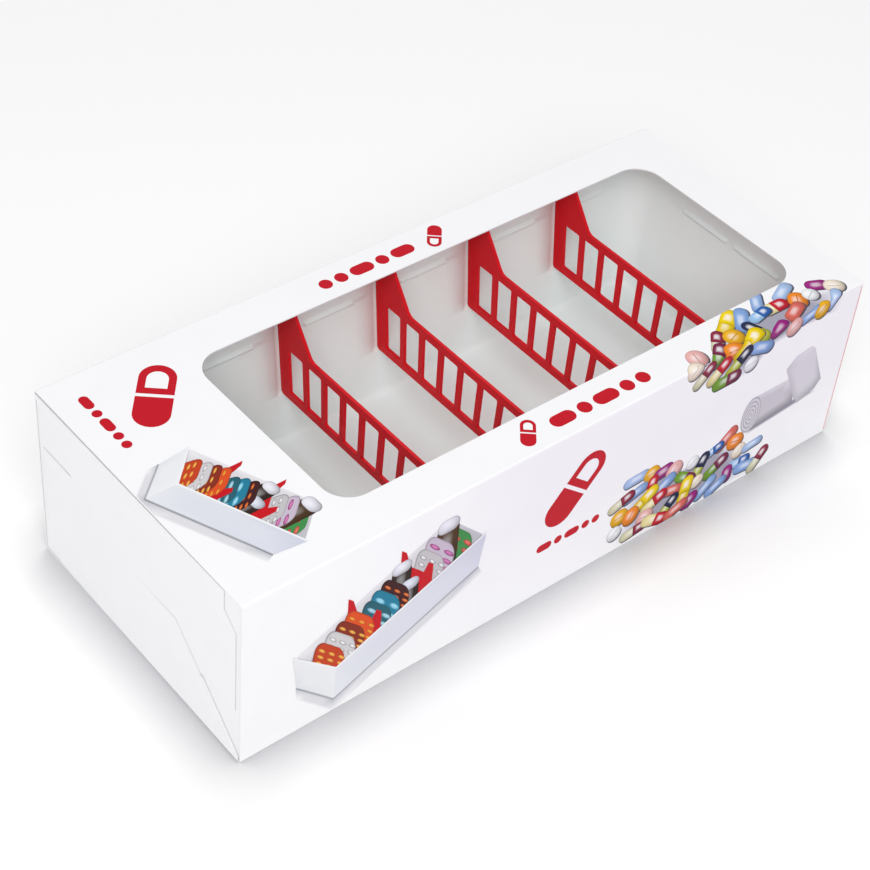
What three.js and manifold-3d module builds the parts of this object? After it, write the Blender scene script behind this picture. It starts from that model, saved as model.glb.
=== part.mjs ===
// Windowed carton holding a compartment tray with four removable slotted dividers.
// Millimetres, +Z up, X along the carton, origin at the middle of the carton's base.

import * as THREE from 'three';
import { mergeVertices } from 'three/addons/utils/BufferGeometryUtils.js';
import Module from 'manifold-3d';

const wasm = await Module();
wasm.setup();

// Carton: one folded sheet of white board
const cartonLength = 350;
const cartonWidth = 148.9;
const cartonHeight = 93.6;
const board = 0.6;
const foldRadius = 1.0;
const foldGap = 0.3;

// Window cut in the carton's top panel
const windowLeftMargin = 63.5;
const windowRightMargin = 22;
const windowSideMargin = 21.5;
const windowCornerRadius = 13;

// Left end: two interlocked flaps over the glued side flaps behind them
const lockFlapDepth = 64;
const lockSideInset = 3.9;
const lockBevelWidth = 7.9;
const lockBevelDrop = 11.6;
const lockBevelHeight = 7.4;
const lockStep = 0.6;
const lockBacking = 0.7;
const hingeNotch = 2.6;

// Right end: closing panel with its tuck, and the two side flaps behind it
const lidBottomGap = 1.15;
const lidSideInset = 0.2;
const tuckLength = 12;
const tuckSideInset = 9;
const tuckCornerRadius = 7;
const sideFlapLength = 58;
const sideFlapTopInset = 5;
const sideFlapBottomInset = 4;
const sideFlapTaper = 9;

// Tray: one moulding with a raised floor, standing on its skirt
const trayFit = 0.7;
const trayEndFit = 0.5;
const trayFootGap = 0.3;
const trayTopGap = 1.5;
const trayWall = 1.5;
const trayTaper = 0.118;
const trayCornerRadius = 16;
const trayFloorHeight = 13;
const trayFloorThickness = 1.6;
const trayFloorFillet = 3.5;
const rimOverhang = 1.6;
const rimDepth = 2.4;

// Grooves down the long walls, and the ledges between them
const groovePitch = 55.8;
const grooveCount = 5;
const grooveRowShift = 1.5;
const grooveWidth = 4.6;
const grooveDepth = 1.1;
const grooveFloorHeight = 38.5;
const ledgeHeight = 71.5;
const ledgeDepth = 1.4;
const ledgeThickness = 2.4;
const ledgeShare = 0.52;
const endLedgeLength = 31;
const endLedgeGap = 4;

// Dividers: flat slotted plates that stand in the grooves
const dividerThickness = 1.6;
const dividerFit = 0.3;
const dividerEdgeFit = 0.3;
const dividerTopDrop = 0.5;
const dividerRailTop = 71.3;
const hornTopWidth = 12.1;
const hornSlope = THREE.MathUtils.degToRad(53.5);
const hornFillet = 5;
const dividerCorner = 2;
const hornCorner = 1.2;
const slotPitch = 13.55;
const slotWidth = 10.6;
const slotBottom = 42.8;
const slotTop = 67.2;
const slotCorner = 0.8;
const endPostLeast = 4;

// Sizes worked out from the ones above
const halfLength = cartonLength / 2;
const halfWidth = cartonWidth / 2;
const innerHalfWidth = halfWidth - board;
const innerTop = cartonHeight - board;
const lockDepth = lockStep + board + lockBacking;
const lidOuterX = halfLength;
const lidInnerX = halfLength - board;
const sideFlapOuterX = lidInnerX - foldGap;
const sideFlapInnerX = sideFlapOuterX - board;
const lidTopZ = innerTop - foldGap;
const lidBottomZ = board + lidBottomGap;

const trayTopZ = innerTop - trayTopGap;
const trayBottomZ = board + trayFootGap;
const trayMinX = -halfLength + lockDepth + trayEndFit;
const trayMaxX = sideFlapInnerX - trayEndFit;
const trayMidX = (trayMinX + trayMaxX) / 2;
const rimHalfLength = (trayMaxX - trayMinX) / 2;
const rimHalfWidth = innerHalfWidth - trayFit;
const trayRimInnerHalfLength = rimHalfLength - rimOverhang - trayWall;
const trayRimInnerHalfWidth = rimHalfWidth - rimOverhang - trayWall;

const arcSteps = 8;
const smallArcSteps = 4;
const eps = 0.01;

const boardWhite = new THREE.MeshStandardMaterial({ color: 0xf2f2f4, roughness: 0.45, metalness: 0 });
const trayGrey = new THREE.MeshStandardMaterial({ color: 0xd6d8d8, roughness: 0.35, metalness: 0 });
const dividerRed = new THREE.MeshStandardMaterial({ color: 0xc40f20, roughness: 0.4, metalness: 0 });

// A closed three.js geometry as a solid that can be joined and cut
function solid(geometry) {
  const bare = geometry.index ? geometry.toNonIndexed() : geometry.clone();
  for (const name of Object.keys(bare.attributes)) {
    if (name !== 'position') bare.deleteAttribute(name);
  }
  const merged = mergeVertices(bare, 1e-4);
  const mesh = new wasm.Mesh({
    numProp: 3,
    vertProperties: new Float32Array(merged.attributes.position.array),
    triVerts: new Uint32Array(merged.index.array),
  });
  return new wasm.Manifold(mesh);
}

function geometryOf(body) {
  const mesh = body.getMesh();
  const geometry = new THREE.BufferGeometry();
  geometry.setAttribute('position', new THREE.BufferAttribute(mesh.vertProperties, mesh.numProp));
  geometry.setIndex(new THREE.BufferAttribute(mesh.triVerts, 1));
  geometry.computeVertexNormals();
  return geometry;
}

function box(minX, maxX, minY, maxY, minZ, maxZ) {
  const geometry = new THREE.BoxGeometry(maxX - minX, maxY - minY, maxZ - minZ);
  geometry.translate((minX + maxX) / 2, (minY + maxY) / 2, (minZ + maxZ) / 2);
  return solid(geometry);
}

// A rectangle with round corners, as a closed run of points
function roundedRectangle(halfX, halfY, radius, steps) {
  const points = [];
  const corners = [[1, 1, 0], [-1, 1, 1], [-1, -1, 2], [1, -1, 3]];
  for (const [signX, signY, quarter] of corners) {
    for (let step = 0; step <= steps; step += 1) {
      const angle = (quarter + step / steps) * Math.PI / 2;
      const x = signX * (halfX - radius) + radius * Math.cos(angle);
      const y = signY * (halfY - radius) + radius * Math.sin(angle);
      points.push(new THREE.Vector2(x, y));
    }
  }
  return points;
}

// A polygon whose corners may each be rounded: points are [x, y, radius]
function roundedPolygon(points, steps) {
  const path = [];
  for (let i = 0; i < points.length; i += 1) {
    const [x, y, radius = 0] = points[i];
    const corner = new THREE.Vector2(x, y);
    if (radius === 0) {
      path.push(corner);
      continue;
    }
    const before = new THREE.Vector2(...points[(i + points.length - 1) % points.length]);
    const after = new THREE.Vector2(...points[(i + 1) % points.length]);
    const toBefore = before.sub(corner).normalize();
    const toAfter = after.sub(corner).normalize();
    const half = Math.acos(toBefore.dot(toAfter)) / 2;
    const bisector = toBefore.clone().add(toAfter).normalize();
    const centre = corner.clone().addScaledVector(bisector, radius / Math.sin(half));
    const reach = radius / Math.tan(half);
    const start = corner.clone().addScaledVector(toBefore, reach).sub(centre);
    const end = corner.clone().addScaledVector(toAfter, reach).sub(centre);
    const turn = Math.atan2(start.cross(end), start.dot(end));
    for (let step = 0; step <= steps; step += 1) {
      path.push(start.clone().rotateAround(new THREE.Vector2(), turn * step / steps).add(centre));
    }
  }
  return path;
}

// An outline drawn in Y and Z, given thickness along X from minX to maxX
function plateAcrossX(outline, holes, minX, maxX) {
  const shape = new THREE.Shape(outline);
  for (const hole of holes) shape.holes.push(new THREE.Path(hole));
  const geometry = new THREE.ExtrudeGeometry(shape, { depth: maxX - minX, bevelEnabled: false });
  const axes = new THREE.Matrix4().makeBasis(
    new THREE.Vector3(0, 1, 0),
    new THREE.Vector3(0, 0, 1),
    new THREE.Vector3(1, 0, 0),
  );
  geometry.applyMatrix4(axes);
  geometry.translate(minX, 0, 0);
  return geometry;
}

// A solid through level sections, given as [z, points], from the lowest to the highest
function loft(levels) {
  const positions = [];
  const index = [];
  const count = levels[0][1].length;
  for (const [z, points] of levels) {
    for (const point of points) positions.push(point.x, point.y, z);
  }
  for (let level = 0; level + 1 < levels.length; level += 1) {
    for (let i = 0; i < count; i += 1) {
      const next = (i + 1) % count;
      const a = level * count + i;
      const b = level * count + next;
      index.push(a, b, b + count, a, b + count, a + count);
    }
  }
  const top = (levels.length - 1) * count;
  for (let i = 1; i + 1 < count; i += 1) {
    index.push(0, i + 1, i);
    index.push(top, top + i, top + i + 1);
  }
  const geometry = new THREE.BufferGeometry();
  geometry.setAttribute('position', new THREE.Float32BufferAttribute(positions, 3));
  geometry.setIndex(index);
  return solid(geometry);
}

// The four panels of the carton as a tube round X
function cartonTube() {
  const outer = roundedRectangle(halfWidth, cartonHeight / 2, foldRadius, smallArcSteps);
  const inner = roundedRectangle(
    halfWidth - board,
    cartonHeight / 2 - board,
    foldRadius - board,
    smallArcSteps,
  );
  const lift = new THREE.Vector2(0, cartonHeight / 2);
  for (const point of [...outer, ...inner]) point.add(lift);
  const tube = solid(plateAcrossX(outer, [inner], -halfLength + lockStep, sideFlapOuterX));
  const stripHalf = halfWidth - foldRadius;
  const start = sideFlapOuterX - eps;
  const topStrip = box(start, halfLength, -stripHalf, stripHalf, innerTop, cartonHeight);
  const baseStrip = box(start, halfLength, -stripHalf, stripHalf, 0, board);
  return tube.add(topStrip).add(baseStrip);
}

function windowCut() {
  const spanX = cartonLength - windowLeftMargin - windowRightMargin;
  const spanY = cartonWidth - 2 * windowSideMargin;
  const outline = roundedRectangle(spanX / 2, spanY / 2, windowCornerRadius, arcSteps);
  const middle = new THREE.Vector2((windowLeftMargin - windowRightMargin) / 2, 0);
  for (const point of outline) point.add(middle);
  return loft([[innerTop - 1, outline], [cartonHeight + 1, outline]]);
}

// One lock flap: hinged along the top, its step towards the outside growing to the back edge.
// The middle run and the slanted edge are the line where the two lock flaps cross.
function lockFlap() {
  const back = halfWidth - foldRadius;
  const middleZ = cartonHeight / 2;
  const freeZ = cartonHeight - lockFlapDepth;
  const slantTopZ = cartonHeight - hingeNotch;
  const slantRun = slantTopZ - middleZ;
  const runEndY = back - slantRun;
  const crossingY = -runEndY;
  const sideY = -halfWidth + lockSideInset;
  const coveredY = crossingY - (middleZ - freeZ);
  const outline = [
    [back, cartonHeight - foldRadius],
    [sideY + lockBevelWidth, cartonHeight - foldRadius],
    [sideY + lockBevelWidth, cartonHeight - lockBevelDrop],
    [sideY, cartonHeight - lockBevelDrop - lockBevelHeight],
    [sideY, freeZ],
    [coveredY, freeZ],
    [crossingY, middleZ],
    [runEndY, middleZ],
    [back, slantTopZ],
  ].map(([y, z]) => new THREE.Vector2(y, z));
  const outerX = -halfLength;
  const geometry = plateAcrossX(outline, [], outerX, outerX + lockStep + board);
  const position = geometry.attributes.position;
  for (let i = 0; i < position.count; i += 1) {
    if (position.getX(i) > outerX + eps) continue;
    const share = (back - position.getY(i)) / (2 * back);
    position.setX(i, outerX + lockStep * share);
  }
  return solid(geometry);
}

// Both lock flaps, the second turned half a turn, on the glued flaps behind them
function lockedEnd() {
  const flap = lockFlap();
  const middleZ = cartonHeight / 2;
  const turned = flap
    .translate([0, 0, -middleZ])
    .rotate([180, 0, 0])
    .translate([0, 0, middleZ]);
  const backing = box(
    -halfLength + lockStep + board / 2,
    -halfLength + lockDepth,
    -halfWidth + board / 2,
    halfWidth - board / 2,
    board / 2,
    cartonHeight - board / 2,
  );
  return flap.add(turned).add(backing);
}

// A side flap at the closing end, turned in from a side wall; side is -1 or 1
function sideFlap(side) {
  const hingeY = halfWidth - board / 2;
  const tipY = halfWidth - sideFlapLength;
  const lowZ = board + sideFlapBottomInset;
  const highZ = innerTop - sideFlapTopInset;
  const outline = roundedPolygon([
    [side * hingeY, lowZ],
    [side * tipY, lowZ + sideFlapTaper, 4],
    [side * tipY, highZ - sideFlapTaper, 4],
    [side * hingeY, highZ],
  ], smallArcSteps);
  return solid(plateAcrossX(outline, [], sideFlapInnerX, sideFlapOuterX));
}

function makeCarton() {
  let body = cartonTube().subtract(windowCut()).add(lockedEnd());
  for (const side of [-1, 1]) body = body.add(sideFlap(side));
  return body;
}

// The closing panel and its tuck, folded from one piece of board
function makeEndLid() {
  const panelHalf = halfWidth - lidSideInset;
  const panel = box(lidInnerX, lidOuterX, -panelHalf, panelHalf, lidBottomZ, lidTopZ);
  const tuckHalf = halfWidth - tuckSideInset;
  const start = lidInnerX + eps;
  const outline = roundedPolygon([
    [start, -tuckHalf],
    [start, tuckHalf],
    [lidInnerX - tuckLength, tuckHalf, tuckCornerRadius],
    [lidInnerX - tuckLength, -tuckHalf, tuckCornerRadius],
  ], arcSteps);
  return panel.add(loft([[lidBottomZ, outline], [lidBottomZ + board, outline]]));
}

// Inner face of the tray's wall at a height, measured from the tray's middle
function trayInner(z, offset) {
  const inward = trayTaper * (trayTopZ - z) - offset;
  return {
    halfX: trayRimInnerHalfLength - inward,
    halfY: trayRimInnerHalfWidth - inward,
    radius: trayCornerRadius - inward / 2,
  };
}

function traySection(z, offset) {
  const { halfX, halfY, radius } = trayInner(z, offset);
  const points = roundedRectangle(halfX, halfY, radius, arcSteps);
  for (const point of points) point.x += trayMidX;
  return points;
}

function rimSection() {
  const radius = trayCornerRadius + trayWall + rimOverhang;
  const points = roundedRectangle(rimHalfLength, rimHalfWidth, radius, arcSteps);
  for (const point of points) point.x += trayMidX;
  return points;
}

function trayShell() {
  const walls = loft([
    [trayBottomZ, traySection(trayBottomZ, trayWall)],
    [trayTopZ, traySection(trayTopZ, trayWall)],
  ]);
  const rim = loft([[trayTopZ - rimDepth, rimSection()], [trayTopZ, rimSection()]]);
  return walls.add(rim);
}

// The tray's inside, with a round fillet where the walls meet the floor
function trayCavity() {
  const levels = [];
  for (let step = 0; step <= smallArcSteps; step += 1) {
    const angle = step / smallArcSteps * Math.PI / 2;
    const z = trayFloorHeight + trayFloorFillet * (1 - Math.cos(angle));
    levels.push([z, traySection(z, -trayFloorFillet * (1 - Math.sin(angle)))]);
  }
  levels.push([trayTopZ + 1, traySection(trayTopZ + 1, 0)]);
  return loft(levels);
}

function traySkirtCavity() {
  const top = trayFloorHeight - trayFloorThickness;
  return loft([[trayBottomZ - 1, traySection(trayBottomZ - 1, 0)], [top, traySection(top, 0)]]);
}

const grooveMidX = trayMidX + grooveRowShift;
const groovePlaces = [];
for (let i = 0; i < grooveCount; i += 1) {
  groovePlaces.push(grooveMidX + (i - (grooveCount - 1) / 2) * groovePitch);
}

// A channel down one long wall, from above the rim to its stop; side is -1 or 1
function grooveBlock(x, side, width, wallOffset, lowZ, highZ) {
  const low = trayInner(lowZ, wallOffset).halfY;
  const high = trayInner(highZ, wallOffset).halfY;
  const inside = trayInner(lowZ, 0).halfY - grooveDepth;
  const outline = [
    new THREE.Vector2(side * inside, lowZ),
    new THREE.Vector2(side * low, lowZ),
    new THREE.Vector2(side * high, highZ),
    new THREE.Vector2(side * inside, highZ),
  ];
  return solid(plateAcrossX(outline, [], x - width / 2, x + width / 2));
}

// Section of a ledge: a nose standing out of the wall, slanted above and below; side is -1 or 1
function ledgeOutline(wall, side) {
  const root = wall + trayWall / 2;
  return [
    new THREE.Vector2(side * root, ledgeHeight + ledgeDepth + trayWall / 2),
    new THREE.Vector2(side * (wall - ledgeDepth), ledgeHeight),
    new THREE.Vector2(side * root, ledgeHeight - ledgeThickness),
  ];
}

// A shallow ledge along a stretch of a long wall
function longLedge(x, side) {
  const length = groovePitch * ledgeShare;
  const outline = ledgeOutline(trayInner(ledgeHeight, 0).halfY, side);
  return solid(plateAcrossX(outline, [], x - length / 2, x + length / 2));
}

// The same ledge on an end wall: end is -1 or 1, y its middle
function endLedge(end, y) {
  const outline = ledgeOutline(trayInner(ledgeHeight, 0).halfX, end);
  const quarter = new THREE.Matrix4().makeRotationZ(Math.PI / 2);
  const geometry = plateAcrossX(outline, [], -endLedgeLength / 2, endLedgeLength / 2);
  geometry.applyMatrix4(quarter);
  geometry.scale(-1, -1, 1);
  geometry.translate(trayMidX, y, 0);
  return solid(geometry);
}

function ledges() {
  const placed = [];
  for (const side of [-1, 1]) {
    for (let i = 0; i <= grooveCount; i += 1) {
      const x = grooveMidX + (i - grooveCount / 2) * groovePitch;
      placed.push(longLedge(x, side));
    }
    const y = side * (endLedgeLength + endLedgeGap) / 2;
    placed.push(endLedge(-1, y));
    placed.push(endLedge(1, y));
  }
  return placed;
}

function makeTray() {
  let body = trayShell();
  const channelTop = trayTopZ - eps;
  for (const x of groovePlaces) {
    for (const side of [-1, 1]) {
      const width = grooveWidth + 2 * trayWall;
      const offset = grooveDepth + trayWall;
      const lowZ = grooveFloorHeight - trayWall;
      body = body.add(grooveBlock(x, side, width, offset, lowZ, channelTop));
    }
  }
  body = body.subtract(trayCavity()).subtract(traySkirtCavity());
  for (const ledge of ledges()) body = body.add(ledge);
  for (const x of groovePlaces) {
    for (const side of [-1, 1]) {
      const cut = grooveBlock(x, side, grooveWidth, grooveDepth, grooveFloorHeight, trayTopZ + 1);
      body = body.subtract(cut);
    }
  }
  return body;
}

// Outline of a divider in Y and Z: two horns joined by a low rail
function dividerOutline() {
  const lowZ = grooveFloorHeight + dividerEdgeFit;
  const highZ = trayTopZ - dividerTopDrop;
  const reach = grooveDepth - dividerEdgeFit;
  const lowY = trayInner(lowZ, reach).halfY;
  const highY = trayInner(highZ, reach).halfY;
  const hornY = highY - hornTopWidth;
  const valleyY = hornY - (highZ - dividerRailTop) / Math.tan(hornSlope);
  return roundedPolygon([
    [-lowY, lowZ, dividerCorner],
    [lowY, lowZ, dividerCorner],
    [highY, highZ, hornCorner],
    [hornY, highZ, hornCorner],
    [valleyY, dividerRailTop, hornFillet],
    [-valleyY, dividerRailTop, hornFillet],
    [-hornY, highZ, hornCorner],
    [-highY, highZ, hornCorner],
  ], smallArcSteps);
}

// As many slots as leave a post at each end of the plate's bottom edge.
// They fan out upwards, the outer ones leaning nearly as much as the plate's tapered ends.
function dividerSlots() {
  const slots = [];
  const lowZ = grooveFloorHeight + dividerEdgeFit;
  const endY = trayInner(lowZ, grooveDepth - dividerEdgeFit).halfY;
  const slotCount = Math.floor((2 * (endY - endPostLeast) + slotPitch - slotWidth) / slotPitch);
  const fan = trayTaper / endY * (slotTop - slotBottom) / 2;
  for (let i = 0; i < slotCount; i += 1) {
    const y = (i - (slotCount - 1) / 2) * slotPitch;
    const nearY = y - slotWidth / 2;
    const farY = y + slotWidth / 2;
    slots.push(roundedPolygon([
      [nearY * (1 - fan), slotBottom, slotCorner],
      [nearY * (1 + fan), slotTop, slotCorner],
      [farY * (1 + fan), slotTop, slotCorner],
      [farY * (1 - fan), slotBottom, slotCorner],
    ], 2));
  }
  return slots;
}

// A divider leans on the right-hand side of its groove
function makeDivider(grooveX) {
  const maxX = grooveX + grooveWidth / 2 - dividerFit;
  return solid(plateAcrossX(dividerOutline(), dividerSlots(), maxX - dividerThickness, maxX));
}

function named(name, body, material) {
  const mesh = new THREE.Mesh(geometryOf(body), material);
  mesh.name = name;
  return mesh;
}

const organizer = new THREE.Group();
organizer.add(named('carton', makeCarton(), boardWhite));

organizer.add(named('end_lid', makeEndLid(), boardWhite));
organizer.add(named('tray', makeTray(), trayGrey));
for (let i = 1; i < grooveCount; i += 1) {
  organizer.add(named(`divider_${i}`, makeDivider(groovePlaces[i]), dividerRed));
}

export default organizer;
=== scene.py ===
"""Looks of the pill organizer in its windowed carton: camera, light, materials and print."""

import math
import random

import bmesh
import bpy
from mathutils import Matrix, Vector


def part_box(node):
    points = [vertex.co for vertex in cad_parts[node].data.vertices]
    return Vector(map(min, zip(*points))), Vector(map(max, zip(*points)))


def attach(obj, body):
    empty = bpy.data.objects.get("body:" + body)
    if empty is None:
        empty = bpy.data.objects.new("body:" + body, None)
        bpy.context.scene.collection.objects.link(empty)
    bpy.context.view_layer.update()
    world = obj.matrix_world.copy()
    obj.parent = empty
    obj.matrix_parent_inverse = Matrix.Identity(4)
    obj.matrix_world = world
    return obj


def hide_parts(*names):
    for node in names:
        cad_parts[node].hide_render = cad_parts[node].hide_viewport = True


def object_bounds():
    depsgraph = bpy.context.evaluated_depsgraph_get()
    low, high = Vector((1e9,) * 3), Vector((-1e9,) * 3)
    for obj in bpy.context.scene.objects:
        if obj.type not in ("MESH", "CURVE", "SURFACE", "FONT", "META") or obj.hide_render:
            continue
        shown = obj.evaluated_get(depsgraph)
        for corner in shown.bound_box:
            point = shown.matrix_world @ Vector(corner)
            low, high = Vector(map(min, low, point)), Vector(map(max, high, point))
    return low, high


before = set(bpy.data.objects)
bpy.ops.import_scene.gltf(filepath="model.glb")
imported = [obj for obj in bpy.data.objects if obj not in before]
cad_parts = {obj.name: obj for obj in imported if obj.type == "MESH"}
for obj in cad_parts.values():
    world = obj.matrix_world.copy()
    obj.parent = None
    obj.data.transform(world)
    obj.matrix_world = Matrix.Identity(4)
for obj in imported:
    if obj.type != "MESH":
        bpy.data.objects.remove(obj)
cad_low, cad_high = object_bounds()

MM = 0.001

# Camera, in the frame of the model: lengths in metres, angles in degrees, lens and sensor in millimetres
CAMERA_PLACE = Vector((-0.4777, -0.4965, 0.6645))
CAMERA_HEADING = 42.96
CAMERA_DIP = 42.58
CAMERA_ROLL = 5.65
CAMERA_LENS = 84.51
SENSOR_WIDTH = 36.0
CAMERA_NEAR = 0.05
CAMERA_FAR = 50.0

# Light: a large lamp on the camera's side, and a weak one behind that throws the shadow forward.
# Powers are in watts, sizes in metres and angles in degrees.
WORLD_STRENGTH = 0.6
LAMP_DISTANCE = 2.5
KEY_POWER = 31.0
KEY_SIZE = 1.5
KEY_HEADING = 40.0
KEY_HEIGHT = 46.0
BACK_POWER = 6.0
BACK_SIZE = 0.8
BACK_HEADING = 222.0
BACK_HEIGHT = 60.0

# Floor: its colours as seen, in the contact shadow, and for the light that it throws back
FLOOR_SIZE = 12.0
FLOOR_COLOUR = (0.99, 0.99, 0.99)
FLOOR_CONTACT = (0.56, 0.56, 0.58)
FLOOR_BOUNCE = (0.9, 0.9, 0.9)
FLOOR_ROUGHNESS = 0.95
FLOOR_GLOSS = 0.1
CONTACT_REACH = 0.026
CONTACT_FULL = 0.5
SHADE_SAMPLES = 8

# Carton and the ink on it, in millimetres
HALF_LENGTH = cad_high.x / MM
FRONT_Y = cad_low.y / MM
HEIGHT = cad_high.z / MM
FOLD_RADIUS = 1.0
FOLD_STEPS = 4
WINDOW_SETBACK = 21.5
INK_LIFT = 0.003
INK_MARGIN = 0.8

# Front panel's printed tint, in metres: it grows from left to right and from the bottom up,
# and shows where the Y of the surface's normal says that it faces the front
TINT_LEFT = -140 * MM
TINT_RIGHT = -10 * MM
TINT_LOW = 2 * MM
TINT_HIGH = 62 * MM
TINT_AT_LEFT = 0.15
TINT_AT_BOTTOM = 0.25
TINT_NORMAL_FULL = -0.9
TINT_NORMAL_NONE = -0.6

# Tray, in millimetres
TRAY_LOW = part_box("tray")[0] / MM
TRAY_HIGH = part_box("tray")[1] / MM
TRAY_MID_X = (TRAY_LOW.x + TRAY_HIGH.x) / 2
TRAY_TOP = TRAY_HIGH.z
TRAY_WALL = 1.5
RIM_OVERHANG = 1.6
RIM_DEPTH = 2.4
RIM_EDGE = 0.6
TRAY_TAPER = 0.118
TRAY_CORNER_RADIUS = 16.0
TRAY_FLOOR = 13.0
TRAY_FLOOR_THICKNESS = 1.6
TRAY_FILLET = 3.5
TRAY_FLOOR_INSET = 6.0
TRAY_SHARP_ANGLE = 50.0
LONG_WALL_HALF = 147.8
END_WALL_HALF = 49.0
GROOVE_PITCH = 55.8
GROOVE_COUNT = 5
GROOVE_ROW_OFFSET = 1.5
GROOVE_MID_X = TRAY_MID_X + GROOVE_ROW_OFFSET
GROOVE_HALF_WIDTH = 2.3
GROOVE_DEPTH = 1.1
GROOVE_STOP = 38.5
LEDGE_HEIGHT = 71.5
LEDGE_DEPTH = 1.4
LEDGE_THICKNESS = 2.4
LONG_LEDGE_SHARE = 0.52
LONG_LEDGE_HALF = GROOVE_PITCH * LONG_LEDGE_SHARE / 2
END_LEDGE_HALF = 15.5
END_LEDGE_GAP = 4.0

# Soft edges of the tray's grooves and ledges, in millimetres. The long walls' ledges fade out
# between two distances from the tray's middle.
GROOVE_EDGE_OUT = 0.35
GROOVE_EDGE_IN = 0.25
GROOVE_FOOT_BELOW = 0.8
GROOVE_FOOT_ABOVE = 0.2
LEDGE_EDGE = 1.2
LEDGE_FADE_START = 144.0
LEDGE_FADE_END = 147.5

# Where the walls get points beside an edge of a groove or a ledge, as distances in from that edge
GROOVE_SAMPLES = (-0.36, -0.2, -0.05, 0.1, 0.26)
LEDGE_SAMPLES = (0, 0.3, 0.6, 0.9, 1.2, 7.0)


def linear(code):
    """A colour written as six hex digits, as linear red, green and blue."""
    parts = [int(code[i:i + 2], 16) / 255 for i in (0, 2, 4)]
    return tuple(c / 12.92 if c <= 0.04045 else ((c + 0.055) / 1.055) ** 2.4 for c in parts)


def inks(*codes):
    return [linear(code) for code in codes]


def smooth_step(value, low, high):
    """0 up to the low value, 1 from the high value on, and a soft rise between them."""
    share = min(1.0, max(0.0, (value - low) / (high - low)))
    return share * share * (3 - 2 * share)


# Materials. The board's colour gets painted shade where the board is shut in by itself, as at the
# steps of its flaps, and the noises' usual values lie between the two ends given here.
BOARD_COLOUR = linear("f6f6f8")
BOARD_TINT = linear("efebf3")
BOARD_ROUGHNESS = (0.42, 0.52)
BOARD_GLOSS = 0.12
BOARD_BUMP = 0.10
FIBRE_SCALE = 900
MOTTLE_SCALE = 60
MOTTLE_TONE = 0.985
CREASE_SHADE_REACH = 1.5 * MM
CREASE_SHADE_SHUT = 0.45
CREASE_SHADE_OPEN = 0.95
CREASE_SHADE_TONE = 0.62
TRAY_COLOUR = linear("eff7f6")
DIVIDER_COLOUR = linear("d40419")
DIVIDER_BEVEL = 0.3 * MM
BEVEL_ANGLE = 40.0
PLASTIC_BUMP = 0.08
PLASTIC_ROUGHNESS_SPREAD = 0.05
GRAIN_SCALE = 1600
FLOW_SCALE = 25
GRAIN_DEPTH = 0.1 * MM
NOISE_ENDS = (0.3, 0.7)
FLOW_ENDS = (0.35, 0.65)

# Print: its inks, and the direction that the light in its pictures comes from
WHITE = (1.0, 1.0, 1.0)
MARK_RED = linear("c80620")
SHADOW_INK = linear("4b4858")
LIGHT = Vector((-0.5, 0.86))

# A round form is a stadium a hair longer than it is wide, so that no two of its points meet.
# The rows beside the pictograms are made of long and round forms, with their lengths and gaps
# as shares of the row's height.
NEARLY_ROUND = 1.001
ROW_LENGTHS = (1.9, NEARLY_ROUND, 1.9, NEARLY_ROUND, NEARLY_ROUND)
ROW_GAP = 0.32

# How a rounded thing is drawn, from its rim inwards: the share of its outline that each ring is
# drawn at, and the darkest and lightest tone on it
RIM_TONES = (0.34, 0.8)
BODY_SHARE = 0.84
BODY_TONES = (0.62, 1.08)
CROWN_SHARE = 0.55
CROWN_TONES = (0.95, 1.15)
HIGHLIGHT_SHARE = 0.2
HIGHLIGHT_SHIFT = 0.12

# Heaps of tablets, in millimetres and degrees
SHADOW_SHIFT = 0.8
HEAP_SHADOW_SHIFT = (1.5, -3.5)
HEAP_SHADOW_SHARES = (0.98, 0.84, 0.6)
HEAP_SPACING = 7.9
HEAP_TRIES = 6000
PILL_ANGLE = 32
PILL_ANGLE_SPREAD = 34
PILL_SCALES = (0.92, 1.12)

# A capsule's cap and a round tablet's score, as shares of the length, the width or the tone.
# The score's half width is in millimetres.
CAP_WIDTH_SHARE = 1.06
CAP_MIDDLE_SHARE = 0.23
CAP_GLOSS = 0.75
SCORE_LENGTH_SHARE = 0.36
SCORE_TONE = 0.68
SCORE_HALF_WIDTH = 0.28

# Kind, colour, a capsule's other colour, length and width
PILLS = [
    ("capsule", "f2d400", "e8c800", 20, 6.8),
    ("capsule", "c8102a", "e9dca0", 17, 6.6),
    ("capsule", "8e2040", "d9d5b4", 17, 6.2),
    ("capsule", "1b2348", "b7bf3a", 19, 6.6),
    ("capsule", "2a63b0", "9cc4ea", 15, 5.6),
    ("capsule", "7a1f46", "6f9a2c", 17, 6.4),
    ("oblong", "86a8dc", None, 16, 6.4),
    ("oblong", "a9c3e8", None, 15, 5.8),
    ("oblong", "8fb0e0", None, 16, 6.0),
    ("oblong", "d9695c", None, 15, 6.2),
    ("oblong", "9b1f7d", None, 12, 7),
    ("round", "eab019", None, 10, 9.5),
    ("round", "f08a24", None, 10.5, 9),
    ("round", "eef0f2", None, 9, 9),
    ("round", "e9b3ae", None, 10.5, 9.5),
    ("round", "f1e2cf", None, 9.5, 8),
]


# Shader helpers
def material_with_nodes(name):
    made = bpy.data.materials.new(name)
    made.use_nodes = True
    tree = made.node_tree
    shader = tree.nodes["Principled BSDF"]
    return made, tree, shader


def add_node(tree, kind, **values):
    node = tree.nodes.new(kind)
    for key, value in values.items():
        setattr(node, key, value)
    return node


def noise(tree, coordinates, scale, detail):
    node = add_node(tree, "ShaderNodeTexNoise")
    node.inputs["Scale"].default_value = scale
    node.inputs["Detail"].default_value = detail
    tree.links.new(coordinates, node.inputs["Vector"])
    return node.outputs["Fac"]


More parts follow.
